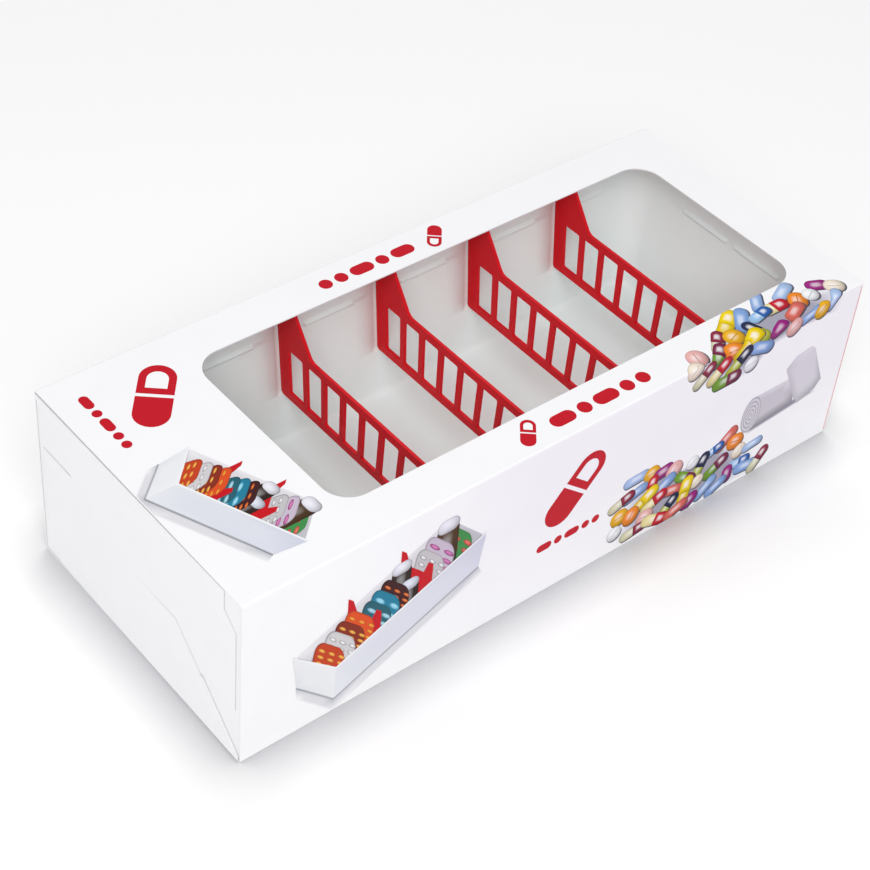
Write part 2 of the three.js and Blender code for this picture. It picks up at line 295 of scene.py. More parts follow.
def remap(tree, value, low, high, to_low, to_high, smooth=False):
    node = add_node(tree, "ShaderNodeMapRange")
    node.interpolation_type = "SMOOTHSTEP" if smooth else "LINEAR"
    node.inputs["From Min"].default_value = low
    node.inputs["From Max"].default_value = high
    node.inputs["To Min"].default_value = to_low
    node.inputs["To Max"].default_value = to_high
    tree.links.new(value, node.inputs["Value"])
    return node.outputs["Result"]


def maths(tree, operation, a, b):
    node = add_node(tree, "ShaderNodeMath", operation=operation)
    for socket, value in zip(node.inputs, (a, b)):
        if isinstance(value, (int, float)):
            socket.default_value = value
        else:
            tree.links.new(value, socket)
    return node.outputs["Value"]


def mix_colour(tree, factor, a, b, mode="MIX"):
    node = add_node(tree, "ShaderNodeMix", data_type="RGBA", blend_type=mode)
    sockets = [s for s in node.inputs if s.type in ("VALUE", "RGBA") and s.enabled]
    for socket, value in zip(sockets, (factor, a, b)):
        if isinstance(value, (int, float)):
            socket.default_value = value
        elif isinstance(value, tuple):
            socket.default_value = (*value, 1.0)
        else:
            tree.links.new(value, socket)
    return [s for s in node.outputs if s.enabled][0]


def bump(tree, shader, height, strength):
    node = add_node(tree, "ShaderNodeBump")
    node.inputs["Strength"].default_value = strength
    node.inputs["Distance"].default_value = GRAIN_DEPTH
    tree.links.new(height, node.inputs["Height"])
    tree.links.new(node.outputs["Normal"], shader.inputs["Normal"])


def add_object(name, data):
    made = bpy.data.objects.new(name, data)
    bpy.context.collection.objects.link(made)
    return made


# Camera, light and floor
def looking(heading, dip):
    """The direction along a heading, turned from +Y towards +X, and down by a dip, in degrees."""
    heading = math.radians(heading)
    dip = math.radians(dip)
    return Vector((
        math.sin(heading) * math.cos(dip),
        math.cos(heading) * math.cos(dip),
        -math.sin(dip),
    ))


def set_camera():
    data = bpy.data.cameras.new("camera")
    data.lens = CAMERA_LENS
    data.sensor_width = SENSOR_WIDTH
    data.clip_start = CAMERA_NEAR
    data.clip_end = CAMERA_FAR
    camera = add_object("camera", data)
    turn = looking(CAMERA_HEADING, CAMERA_DIP).to_track_quat("-Z", "Y").to_matrix()
    turn = turn @ Matrix.Rotation(math.radians(CAMERA_ROLL), 3, "Z")
    camera.matrix_world = Matrix.Translation(CAMERA_PLACE) @ turn.to_4x4()
    bpy.context.scene.camera = camera


def seen_directly(tree):
    """1 for rays that show the surroundings themselves: the camera's, mirrored or through glass."""
    paths = add_node(tree, "ShaderNodeLightPath")
    plain = maths(tree, "MAXIMUM", paths.outputs["Is Camera Ray"], paths.outputs["Is Glossy Ray"])
    return maths(tree, "MAXIMUM", plain, paths.outputs["Is Transmission Ray"])


def add_lamp(name, power, size, heading, height):
    """A square lamp aimed at the carton, from a heading and a height in degrees."""
    data = bpy.data.lights.new(name, "AREA")
    data.energy = power
    data.size = size
    lamp = add_object(name, data)
    place = -LAMP_DISTANCE * looking(heading, height)
    aim = (-place).to_track_quat("-Z", "Y").to_matrix().to_4x4()
    lamp.matrix_world = Matrix.Translation(place) @ aim


def set_light():
    scene = bpy.context.scene
    scene.view_settings.view_transform = "Standard"
    world = bpy.data.worlds.new("studio")
    scene.world = world
    world.use_nodes = True
    tree = world.node_tree
    background = tree.nodes["Background"]
    strength = remap(tree, seen_directly(tree), 0, 1, WORLD_STRENGTH, 1.0)
    tree.links.new(strength, background.inputs["Strength"])
    background.inputs["Color"].default_value = (1, 1, 1, 1)
    add_lamp("key", KEY_POWER, KEY_SIZE, KEY_HEADING, KEY_HEIGHT)
    add_lamp("back", BACK_POWER, BACK_SIZE, BACK_HEADING, BACK_HEIGHT)


def make_floor():
    mesh = bpy.data.meshes.new("floor")
    half = FLOOR_SIZE / 2
    corners = [(-half, -half, 0), (half, -half, 0), (half, half, 0), (-half, half, 0)]
    mesh.from_pydata(corners, [], [(0, 1, 2, 3)])
    floor = add_object("floor", mesh)
    made, tree, shader = material_with_nodes("floor")
    near = add_node(tree, "ShaderNodeAmbientOcclusion", samples=SHADE_SAMPLES)
    near.inputs["Distance"].default_value = CONTACT_REACH
    openness = remap(tree, near.outputs["AO"], CONTACT_FULL, 1, 0, 1)
    shown = mix_colour(tree, openness, FLOOR_CONTACT, FLOOR_COLOUR)
    colour = mix_colour(tree, seen_directly(tree), FLOOR_BOUNCE, shown)
    tree.links.new(colour, shader.inputs["Base Color"])
    shader.inputs["Roughness"].default_value = FLOOR_ROUGHNESS
    shader.inputs["Specular IOR Level"].default_value = FLOOR_GLOSS
    mesh.materials.append(made)


# Materials
def front_tint(tree, place):
    """How far the front panel's printed background has turned lilac at a point, 0 to 1."""
    split = add_node(tree, "ShaderNodeSeparateXYZ")
    tree.links.new(place, split.inputs["Vector"])
    facing = add_node(tree, "ShaderNodeSeparateXYZ")
    normal = add_node(tree, "ShaderNodeTexCoord").outputs["Normal"]
    tree.links.new(normal, facing.inputs["Vector"])
    front = remap(tree, facing.outputs["Y"], TINT_NORMAL_FULL, TINT_NORMAL_NONE, 1, 0)
    right = remap(tree, split.outputs["X"], TINT_LEFT, TINT_RIGHT, TINT_AT_LEFT, 1, smooth=True)
    up = remap(tree, split.outputs["Z"], TINT_LOW, TINT_HIGH, TINT_AT_BOTTOM, 1, smooth=True)
    return maths(tree, "MULTIPLY", front, maths(tree, "MULTIPLY", right, up))


def board_material(name, inked):
    """White coated board with painted shade where it is shut in by itself; where inked, the colour at each
    point is the print's.
    """
    made, tree, shader = material_with_nodes(name)
    place = add_node(tree, "ShaderNodeTexCoord").outputs["Object"]
    fibre = noise(tree, place, FIBRE_SCALE, 4)
    mottle = noise(tree, place, MOTTLE_SCALE, 2)
    # Painted shade: the colour darkens where ambient occlusion finds the board shut in by itself, as at its
    # flaps' steps
    crease_shade = add_node(tree, "ShaderNodeAmbientOcclusion", samples=SHADE_SAMPLES, only_local=True)
    crease_shade.inputs["Distance"].default_value = CREASE_SHADE_REACH
    gap = remap(tree, crease_shade.outputs["AO"], CREASE_SHADE_SHUT, CREASE_SHADE_OPEN, CREASE_SHADE_TONE, 1.0)
    tone = maths(tree, "MULTIPLY", gap, remap(tree, mottle, *NOISE_ENDS, MOTTLE_TONE, 1.0))
    grey = add_node(tree, "ShaderNodeCombineColor")
    for socket in grey.inputs[:3]:
        tree.links.new(tone, socket)
    base = mix_colour(tree, front_tint(tree, place), BOARD_COLOUR, BOARD_TINT)
    colour = mix_colour(tree, 1.0, base, grey.outputs["Color"], "MULTIPLY")
    if inked:
        ink = add_node(tree, "ShaderNodeAttribute", attribute_name="ink")
        colour = mix_colour(tree, 1.0, colour, ink.outputs["Color"], "MULTIPLY")
    tree.links.new(colour, shader.inputs["Base Color"])
    roughness = remap(tree, fibre, *NOISE_ENDS, *BOARD_ROUGHNESS)
    tree.links.new(roughness, shader.inputs["Roughness"])
    shader.inputs["Specular IOR Level"].default_value = BOARD_GLOSS
    bump(tree, shader, fibre, BOARD_BUMP)
    return made


def plastic_material(name, colour, roughness, variation, gloss):
    """Moulded plastic with a fine spark-eroded grain."""
    made, tree, shader = material_with_nodes(name)
    shader.inputs["Specular IOR Level"].default_value = gloss
    place = add_node(tree, "ShaderNodeTexCoord").outputs["Object"]
    grain = noise(tree, place, GRAIN_SCALE, 3)
    flow = noise(tree, place, FLOW_SCALE, 2)
    pale = tuple(min(1.0, c * (1 + variation)) for c in colour)
    deep = tuple(c * (1 - variation) for c in colour)
    base = mix_colour(tree, remap(tree, flow, *FLOW_ENDS, 0, 1), deep, pale)
    tree.links.new(base, shader.inputs["Base Color"])
    smoothest = roughness - PLASTIC_ROUGHNESS_SPREAD
    roughest = roughness + PLASTIC_ROUGHNESS_SPREAD
    sheen = remap(tree, grain, *NOISE_ENDS, smoothest, roughest)
    tree.links.new(sheen, shader.inputs["Roughness"])
    bump(tree, shader, grain, PLASTIC_BUMP)
    return made


def dress_node(name, material, bevel):
    """Gives a node of the model its material and, where it has a width, a bevel on its edges."""
    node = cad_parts[name]
    node.data.materials.clear()
    node.data.materials.append(material)
    if bevel:
        modifier = node.modifiers.new("edges", "BEVEL")
        modifier.width = bevel
        modifier.segments = 2
        modifier.limit_method = "ANGLE"
        modifier.angle_limit = math.radians(BEVEL_ANGLE)


# The tray as one smooth moulding
def tray_inner(z):
    """Half length, half width and corner radius of the tray's inside at a height."""
    inward = TRAY_TAPER * (TRAY_TOP - z)
    rim_to_inside = RIM_OVERHANG + TRAY_WALL
    half_x = (TRAY_HIGH.x - TRAY_LOW.x) / 2 - rim_to_inside - inward
    half_y = (TRAY_HIGH.y - TRAY_LOW.y) / 2 - rim_to_inside - inward
    return half_x, half_y, TRAY_CORNER_RADIUS - inward / 2


def groove_share(x):
    """How much of a groove's depth the long walls have at a place along X, 0 to 1."""
    nearest = round((x - GROOVE_MID_X) / GROOVE_PITCH) * GROOVE_PITCH + GROOVE_MID_X
    outer = -GROOVE_HALF_WIDTH - GROOVE_EDGE_OUT
    inner = -GROOVE_HALF_WIDTH + GROOVE_EDGE_IN
    return smooth_step(-abs(x - nearest), outer, inner)


def ledge_share(distance, half):
    """How much of a ledge's depth there is at a distance from its middle, 0 to 1."""
    return smooth_step(-distance, -half, -half + LEDGE_EDGE)


def long_ledge_share(x):
    row = (x - GROOVE_MID_X) / GROOVE_PITCH
    nearest = (math.floor(row) + 0.5) * GROOVE_PITCH + GROOVE_MID_X
    fade = smooth_step(-abs(x - TRAY_MID_X), -LEDGE_FADE_END, -LEDGE_FADE_START)
    return ledge_share(abs(x - nearest), LONG_LEDGE_HALF) * fade


def end_ledge_share(y):
    return ledge_share(abs(abs(y) - END_LEDGE_HALF - END_LEDGE_GAP / 2), END_LEDGE_HALF)


def edge_places(middle, half, samples):
    """A groove's or ledge's middle, and the places beside its two edges."""
    return {middle + side * (half - step) for step in (*samples, half) for side in (-1, 1)}


def long_places():
    """Places along X where the long walls change, from low to high."""
    places = set()
    for i in range(GROOVE_COUNT):
        middle = GROOVE_MID_X + (i - (GROOVE_COUNT - 1) / 2) * GROOVE_PITCH
        places |= edge_places(middle, GROOVE_HALF_WIDTH, GROOVE_SAMPLES)
    for i in range(GROOVE_COUNT + 1):
        middle = GROOVE_MID_X + (i - GROOVE_COUNT / 2) * GROOVE_PITCH
        places |= edge_places(middle, LONG_LEDGE_HALF, LEDGE_SAMPLES)
    ends = [TRAY_MID_X - LONG_WALL_HALF, TRAY_MID_X + LONG_WALL_HALF]
    return sorted(ends + [x for x in places if abs(x - TRAY_MID_X) < LONG_WALL_HALF])


def end_places():
    """Places along Y where the end walls change, from low to high."""
    middle = END_LEDGE_HALF + END_LEDGE_GAP / 2
    places = {-END_WALL_HALF, 0.0, END_WALL_HALF}
    places |= edge_places(-middle, END_LEDGE_HALF, LEDGE_SAMPLES)
    places |= edge_places(middle, END_LEDGE_HALF, LEDGE_SAMPLES)
    return sorted(places)


def tray_stations():
    """Places round the tray's wall, anticlockwise, each with its shares of a groove and of a ledge.

    A place is a function of a section's half length, half width and corner radius, and an offset.
    """
    stations = []
    corner_steps = 16

    def end_wall(y, end):
        return lambda hx, hy, r, out: (TRAY_MID_X + end * (hx + out), y)

    def long_wall(x, side):
        return lambda hx, hy, r, out: (x, side * (hy + out))

    def corner(sign_x, sign_y, angle):
        def place(hx, hy, r, out):
            x = TRAY_MID_X + sign_x * (hx - r) + (r + out) * math.cos(angle)
            return x, sign_y * (hy - r) + (r + out) * math.sin(angle)
        return place

    def add_corner(sign_x, sign_y, quarter):
        for step in range(corner_steps + 1):
            angle = (quarter + step / corner_steps) * math.pi / 2
            stations.append((corner(sign_x, sign_y, angle), 0.0, 0.0))

    for y in end_places():
        stations.append((end_wall(y, 1), 0.0, end_ledge_share(y)))
    add_corner(1, 1, 0)
    for x in reversed(long_places()):
        stations.append((long_wall(x, 1), groove_share(x), long_ledge_share(x)))
    add_corner(-1, 1, 1)
    for y in reversed(end_places()):
        stations.append((end_wall(y, -1), 0.0, end_ledge_share(y)))
    add_corner(-1, -1, 2)
    for x in long_places():
        stations.append((long_wall(x, -1), groove_share(x), long_ledge_share(x)))
    add_corner(1, -1, 3)
    return stations


def tray_levels():
    """The section of the wall from the floor's inside to its underside: height, offset, inside or not."""
    levels = [(TRAY_FLOOR, -TRAY_FILLET - TRAY_FLOOR_INSET, True)]
    fillet_steps = 6
    for step in range(fillet_steps + 1):
        angle = step / fillet_steps * math.pi / 2
        rise = TRAY_FILLET * (1 - math.cos(angle))
        levels.append((TRAY_FLOOR + rise, -TRAY_FILLET * (1 - math.sin(angle)), True))
    below_grooves = [22, 30, 36.5]
    groove_feet = [GROOVE_STOP + step * 0.2 for step in range(-5, 3)]
    below_ledges = [45, 55, 64]
    ledges = [LEDGE_HEIGHT + step * 0.3 for step in range(-9, 7)]
    above_ledges = [78, 84, TRAY_TOP - 2 * RIM_EDGE]
    for z in below_grooves + groove_feet + below_ledges + ledges + above_ledges:
        levels.append((z, 0.0, True))
    rim_steps = 3
    for step in range(rim_steps + 1):
        angle = step / rim_steps * math.pi / 2
        rise = RIM_EDGE * math.sin(angle)
        levels.append((TRAY_TOP - RIM_EDGE + rise, RIM_EDGE * (1 - math.cos(angle)), True))
    edge = TRAY_WALL + RIM_OVERHANG
    for step in range(rim_steps + 1):
        angle = step / rim_steps * math.pi / 2
        z = TRAY_TOP - RIM_EDGE * (1 - math.cos(angle))
        outward = edge - RIM_EDGE * (1 - math.sin(angle)) + TRAY_TAPER * (TRAY_TOP - z)
        levels.append((z, outward, False))
    levels += [
        (TRAY_TOP - RIM_DEPTH, edge + TRAY_TAPER * RIM_DEPTH, False),
        (TRAY_TOP - RIM_DEPTH, TRAY_WALL, False),
        (TRAY_LOW.z, TRAY_WALL, False),
        (TRAY_LOW.z, 0.0, False),
        (TRAY_FLOOR - TRAY_FLOOR_THICKNESS, 0.0, False),
        (TRAY_FLOOR - TRAY_FLOOR_THICKNESS, -TRAY_FILLET, False),
    ]
    return levels


def ledge_reach(z):
    """How far a ledge stands out of the wall at a height, 0 to 1."""
    above = 1 - (z - LEDGE_HEIGHT) / LEDGE_DEPTH
    below = 1 - (LEDGE_HEIGHT - z) / LEDGE_THICKNESS
    return smooth_step(min(above, below), 0, 1)


def make_tray(material):
    """The moulding as a ring of points at each level, skinned and closed at both ends."""
    stations = tray_stations()
    made = bmesh.new()
    rings = []
    for z, offset, on_inside in tray_levels():
        sizes = tray_inner(z)
        in_groove = smooth_step(z, GROOVE_STOP - GROOVE_FOOT_BELOW, GROOVE_STOP + GROOVE_FOOT_ABOVE)
        in_ledge = ledge_reach(z)
        ring = []
        for place, groove, ledge in stations:
            out = offset
            if on_inside:
                out += GROOVE_DEPTH * groove * in_groove - LEDGE_DEPTH * ledge * in_ledge
            x, y = place(*sizes, out)
            ring.append(made.verts.new((x * MM, y * MM, z * MM)))
        rings.append(ring)
    count = len(stations)
    for low, high in zip(rings, rings[1:]):
        for i in range(count):
            j = (i + 1) % count
            made.faces.new((low[i], high[i], high[j], low[j]))
    made.faces.new(rings[0])
    made.faces.new(list(reversed(rings[-1])))
    bmesh.ops.recalc_face_normals(made, faces=made.faces[:])
    mesh = bpy.data.meshes.new("moulded_tray")
    made.to_mesh(mesh)
    made.free()
    mesh.shade_smooth()
    mesh.set_sharp_from_angle(angle=math.radians(TRAY_SHARP_ANGLE))
    mesh.materials.append(material)
    tray = add_object("moulded_tray", mesh)
    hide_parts("tray")
    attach(tray, "box")


# Print. A place on it is (x, w) in millimetres: w runs up the front panel, over the fold
# and back across the top panel.
def top_w(y):
    """The place w of a point of the top panel, from its Y."""
    return HEIGHT + FOLD_RADIUS * (math.pi / 2 - 2) + (y - FRONT_Y)


def on_board(x, w, lift):
    """The point of the carton's surface at a place of the print, in metres."""
    straight = HEIGHT - FOLD_RADIUS
    bend = FOLD_RADIUS * math.pi / 2
    if w <= straight:
        point = Vector((x, FRONT_Y - lift, w))
    elif w < straight + bend:
        angle = (w - straight) / FOLD_RADIUS
        reach = FOLD_RADIUS + lift
        y = FRONT_Y + FOLD_RADIUS - reach * math.cos(angle)
        point = Vector((x, y, straight + reach * math.sin(angle)))
    else:
        point = Vector((x, FRONT_Y + FOLD_RADIUS + w - straight - bend, HEIGHT + lift))
    return point * MM


def area_of(points):
    pairs = zip(points, points[1:] + points[:1])
    return sum(a[0] * b[1] - a[1] * b[0] for a, b in pairs) / 2


class Print:
    """Flat shapes of ink on the board. A shape that overlaps others lies a hair above them."""

    def __init__(self, name):
        self.name = name
        self.mesh = bmesh.new()
        self.ink = self.mesh.verts.layers.float_color.new("ink")
        self.boxes = []

    def layer(self, points):
        xs = [p[0] for p in points]
        ws = [p[1] for p in points]
        box = (min(xs), min(ws), max(xs), max(ws))
        under = [
            level for other, level in self.boxes
            if other[0] < box[2] and box[0] < other[2] and other[1] < box[3] and box[1] < other[3]
        ]
        level = max(under, default=0) + 1
        self.boxes.append((box, level))
        return level

    def shape(self, rings, colours):
        """Rings of points from the rim inwards. Each has one colour, or a list with one for each point."""
        spread = [[c] * len(ring) if isinstance(c[0], float) else c for ring, c in zip(rings, colours)]
        if area_of(rings[0]) < 0:
            rings = [ring[::-1] for ring in rings]
            spread = [row[::-1] for row in spread]
        lift = self.layer(rings[0]) * INK_LIFT
        placed = []
        for ring, ring_inks in zip(rings, spread):
            row = []
            for (x, w), ink in zip(ring, ring_inks):
                vert = self.mesh.verts.new((x, w, lift))
                vert[self.ink] = (*ink, 1.0)
                row.append(vert)
            placed.append(row)
        for outer, inner in zip(placed, placed[1:]):
            for i in range(len(outer)):
                j = (i + 1) % len(outer)
                self.mesh.faces.new((outer[i], outer[j], inner[j], inner[i]))
        self.mesh.faces.new(placed[-1])

    def patch(self, points, colour):
        self.shape([points], [colour])

    def split(self, place, normal, clear_outer=False):
        geometry = self.mesh.verts[:] + self.mesh.edges[:] + self.mesh.faces[:]
        bmesh.ops.bisect_plane(
            self.mesh, geom=geometry, plane_co=(*place, 0), plane_no=(*normal, 0), clear_outer=clear_outer,
        )

    def cut(self, place, normal):
        """Takes away what lies past a line, on the side that its normal points to."""
        self.split(place, normal, clear_outer=True)

    def fold(self):
        """Splits the faces that pass over the carton's fold, so that they can bend round it."""
        for step in range(FOLD_STEPS + 1):
            w = HEIGHT - FOLD_RADIUS + FOLD_RADIUS * math.pi / 2 * step / FOLD_STEPS
            self.split((0, w), (0, 1))

    def finish(self, material):
        """Cuts the print off at the panels' edges, lays it on the board and makes it a piece."""
        self.cut((HALF_LENGTH - INK_MARGIN / 2, 0), (1, 0))
        self.cut((INK_MARGIN - HALF_LENGTH, 0), (-1, 0))
        self.cut((0, INK_MARGIN), (0, -1))
        self.fold()
        bmesh.ops.triangulate(self.mesh, faces=self.mesh.faces[:])
        for vert in self.mesh.verts:
            vert.co = on_board(*vert.co)
        mesh = bpy.data.meshes.new(self.name)
        self.mesh.to_mesh(mesh)
        self.mesh.free()
        mesh.materials.append(material)
        piece = add_object(self.name, mesh)
        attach(piece, "box")


# Shapes, as lists of places
def stadium(centre, length, width, angle, steps=10):
    """A capsule's outline, its axis at an angle in degrees."""
    turn = math.radians(angle)
    reach = (length - width) / 2
    points = []
    for side in (1, -1):
        for step in range(steps + 1):
            around = math.pi * (step / steps - 0.5) + (0 if side > 0 else math.pi)
            x = side * reach + width / 2 * math.cos(around)
            y = width / 2 * math.sin(around)
            points.append((
                centre[0] + x * math.cos(turn) - y * math.sin(turn),
                centre[1] + x * math.sin(turn) + y * math.cos(turn),
            ))
    return points


def half_stadium(centre, length, width, angle, steps=10):
    """The half of a capsule's outline that its angle points to."""
    full = stadium(centre, length, width, angle, steps)
    turn = math.radians(angle)
    across = Vector((-math.sin(turn), math.cos(turn))) * width / 2
    low = (centre[0] - across.x, centre[1] - across.y)
    high = (centre[0] + across.x, centre[1] + across.y)
    return [low] + full[:steps + 1] + [high]


def towards(points, centre, share):
    """The outline shrunk towards a centre."""
    return [
        (centre[0] + (x - centre[0]) * share, centre[1] + (y - centre[1]) * share)
        for x, y in points
    ]


def mean_of(rows):
    """The mean of some places, or of some colours."""
    return tuple(sum(values) / len(rows) for values in zip(*rows))


def shade(colour, factor):
    return tuple(min(1.0, c * factor) for c in colour)


def blend(a, b, share):
    return tuple(x + (y - x) * share for x, y in zip(a, b))


def rounded_colours(points, centre, colour, dark, light):
    """A colour for each point of a rim: lighter where it faces the light."""
    made = []
    for x, y in points:
        out = Vector((x - centre[0], y - centre[1]))
        facing = out.normalized().dot(LIGHT) if out.length > 0 else 0
        made.append(shade(colour, dark + (light - dark) * (facing + 1) / 2))
    return made


def draw_round(sheet, outline, centre, colour, size, gloss=0.5):
    """A rounded thing seen from above, as a tablet: a dark rim, a lit body and a highlight."""
    lit = (centre[0] + LIGHT.x * size * HIGHLIGHT_SHIFT, centre[1] + LIGHT.y * size * HIGHLIGHT_SHIFT)
    body = towards(outline, centre, BODY_SHARE)
    crown = towards(outline, lit, CROWN_SHARE)
    highlight = towards(outline, lit, HIGHLIGHT_SHARE)
    sheet.shape([outline, body, crown, highlight], [
        rounded_colours(outline, centre, colour, *RIM_TONES),
        rounded_colours(body, centre, colour, *BODY_TONES),
        rounded_colours(crown, lit, colour, *CROWN_TONES),
        blend(shade(colour, CROWN_TONES[1]), WHITE, gloss),
    ])


def draw_shadow(sheet, outline):
    """The dark gap under a tablet, on the side away from the light."""
    shifted = [(x - LIGHT.x * SHADOW_SHIFT, y - LIGHT.y * SHADOW_SHIFT) for x, y in outline]
    sheet.patch(shifted, SHADOW_INK)


def draw_pill(sheet, kind, first, second, centre, length, width, angle):
    """A tablet or capsule with its shadow. A capsule has a cap on one half, a round tablet a score."""
    outline = stadium(centre, length, width, angle)
    draw_shadow(sheet, outline)
    draw_round(sheet, outline, centre, linear(second or first), width)
    turn = math.radians(angle)
    if kind == "capsule":
        cap = half_stadium(centre, length, width * CAP_WIDTH_SHARE, angle)
        reach = length * CAP_MIDDLE_SHARE
        middle = (centre[0] + reach * math.cos(turn), centre[1] + reach * math.sin(turn))
        draw_round(sheet, cap, middle, linear(first), width, CAP_GLOSS)
    elif kind == "round":
        side = Vector((math.cos(turn), math.sin(turn))) * width * SCORE_LENGTH_SHARE
        thin = Vector((-side.y, side.x)).normalized() * SCORE_HALF_WIDTH
        middle = Vector(centre)
        score = [middle - side - thin, middle + side - thin, middle + side + thin, middle - side + thin]
        sheet.patch([tuple(p) for p in score], shade(linear(first), SCORE_TONE))


def inside(point, outline):
    """Whether a point lies inside an outline: a line from it crosses the outline an odd number of times."""
    x, y = point
    hits = 0
    for (ax, ay), (bx, by) in zip(outline, outline[1:] + outline[:1]):
        if (ay > y) != (by > y) and x < (bx - ax) * (y - ay) / (by - ay) + ax:
            hits += 1
    return hits % 2 == 1


def scatter(draw, outline):
    """Places inside an outline, none too close to another, from the top of it down."""
    low_x, high_x = min(p[0] for p in outline), max(p[0] for p in outline)
    low_w, high_w = min(p[1] for p in outline), max(p[1] for p in outline)
    places = []
    for _ in range(HEAP_TRIES):
        point = (draw.uniform(low_x, high_x), draw.uniform(low_w, high_w))
        clear = all(math.dist(point, p) > HEAP_SPACING for p in places)
        if clear and inside(point, outline):
            places.append(point)
    return sorted(places, key=lambda p: -p[1])


def draw_heap(name, material, seed, outline, window_cut):
    """A heap of tablets and capsules on its soft shadow, cut off at the window where that is asked."""
    sheet = Print(name)
    middle = mean_of(outline)
    shift_x, shift_w = HEAP_SHADOW_SHIFT
    lowered = [(x + shift_x, w + shift_w) for x, w in outline]
    rings = [towards(lowered, middle, share) for share in HEAP_SHADOW_SHARES]
    sheet.shape(rings, inks("ffffff", "e4e2ea", "a9a7b5"))
    draw = random.Random(seed)
    kinds = list(PILLS)
    for i, centre in enumerate(scatter(draw, outline)):
        if i % len(kinds) == 0:
            draw.shuffle(kinds)
        kind, first, second, length, width = kinds[i % len(kinds)]
        angle = draw.gauss(PILL_ANGLE, PILL_ANGLE_SPREAD)
        scale = draw.uniform(*PILL_SCALES)
        draw_pill(sheet, kind, first, second, centre, length * scale, width * scale, angle)
    if window_cut:
        sheet.cut((0, top_w(FRONT_Y + WINDOW_SETBACK)), (0, 1))
    sheet.finish(material)


# The printed picture of an open tray. A place in it is (a, b, h): along, across and up.
class TrayPicture:
    def __init__(self, sheet, corner, along, across, up):
        self.sheet = sheet
        self.corner = Vector(corner)
        self.along = Vector(along)
        self.across = Vector(across)
        self.up = Vector(up)

    def place(self, a, b, h):
        point = self.corner + self.along * a + self.across * b + self.up * h
        return (point.x, point.y)

    def quad(self, corners, *codes):
        """A four-cornered field with a colour at each corner."""
        points = [self.place(*c) for c in corners]
        colours = inks(*codes)
        self.sheet.shape([points, towards(points, mean_of(points), 0.5)], [colours, mean_of(colours)])

    def card(self, a, low_b, high_b, top, foil, blister, rows, columns, glow):
        """A blister card standing across the tray, leaning a little along it."""
        lean = 0.05
        foot = 0.3
        corner_b = 0.28 * (high_b - low_b)
        corner_h = 0.3
        outline = [self.place(a, low_b, foot), self.place(a, high_b, foot)]
        steps = 5
        for middle_b, start in ((high_b - corner_b, 0), (low_b + corner_b, 1)):
            for step in range(steps + 1):
                angle = (start + step / steps) * math.pi / 2
                b = middle_b + corner_b * math.cos(angle)
                h = top - corner_h * (1 - math.sin(angle))
                outline.append(self.place(a + lean * (h - foot), b, h))
        middle = self.place(a + lean, (low_b + high_b) / 2, (top + foot) / 2)
        edge = shade(linear(foil), 0.55)
        self.sheet.shape([outline, towards(outline, middle, 0.9)], [edge, linear(foil)])
        fill = 0.36
        half_b = (high_b - low_b) / columns * fill
        half_h = (top - 0.6) / rows * fill
        for row in range(rows):
            h = 0.42 + (top - 0.62) * (row + 0.5) / rows
            for column in range(columns):
                b = low_b + (high_b - low_b) * (column + 0.5) / columns
                self.bubble(a + lean * h, b, h, half_b, half_h, linear(blister), linear(glow))

    def bubble(self, a, b, h, half_b, half_h, colour, glow):
        """One blister of a card, dark at its rim and lit near its top."""
        steps = 12
        rim = []
        for step in range(steps):
            angle = 2 * math.pi * step / steps
            rim.append(self.place(a, b + half_b * math.cos(angle), h + half_h * math.sin(angle)))
        core = towards(rim, self.place(a, b, h + half_h * 0.3), 0.45)
        self.sheet.shape([rim, core], [shade(colour, 0.55), blend(colour, glow, 0.8)])

    def bottle(self, a, b, top, radius, body, cap):
        """A small bottle standing in the tray, with its cap."""
        foot = Vector(self.place(a, b, 0.5))
        head = Vector(self.place(a, b, top))
        axis = (head - foot).normalized()
        angle = math.degrees(math.atan2(axis.y, axis.x))
        middle = (foot + head) / 2
        length = (head - foot).length + radius * 2
        outline = stadium(tuple(middle), length, radius * 2, angle)
        draw_round(self.sheet, outline, tuple(middle), linear(body), radius * 2, 0.25)
        lid = head + axis * radius * 0.55
        outline = stadium(tuple(lid), radius * 2.0, radius * 1.35, angle + 90)
        draw_round(self.sheet, outline, tuple(lid), linear(cap), radius * 2, 0.2)

    def divider(self, a):
        """A divider across the tray: two horns with a low rail between them."""
        foot = 0.35
        top = 1.42
        rail = top - 0.35
        section = [
            (0.04, foot), (0.96, foot), (0.96, top), (0.82, top),
            (0.68, rail), (0.3, rail), (0.18, top), (0.04, top),
        ]
        self.sheet.patch([self.place(a, b, h) for b, h in section], linear("cc0519"))


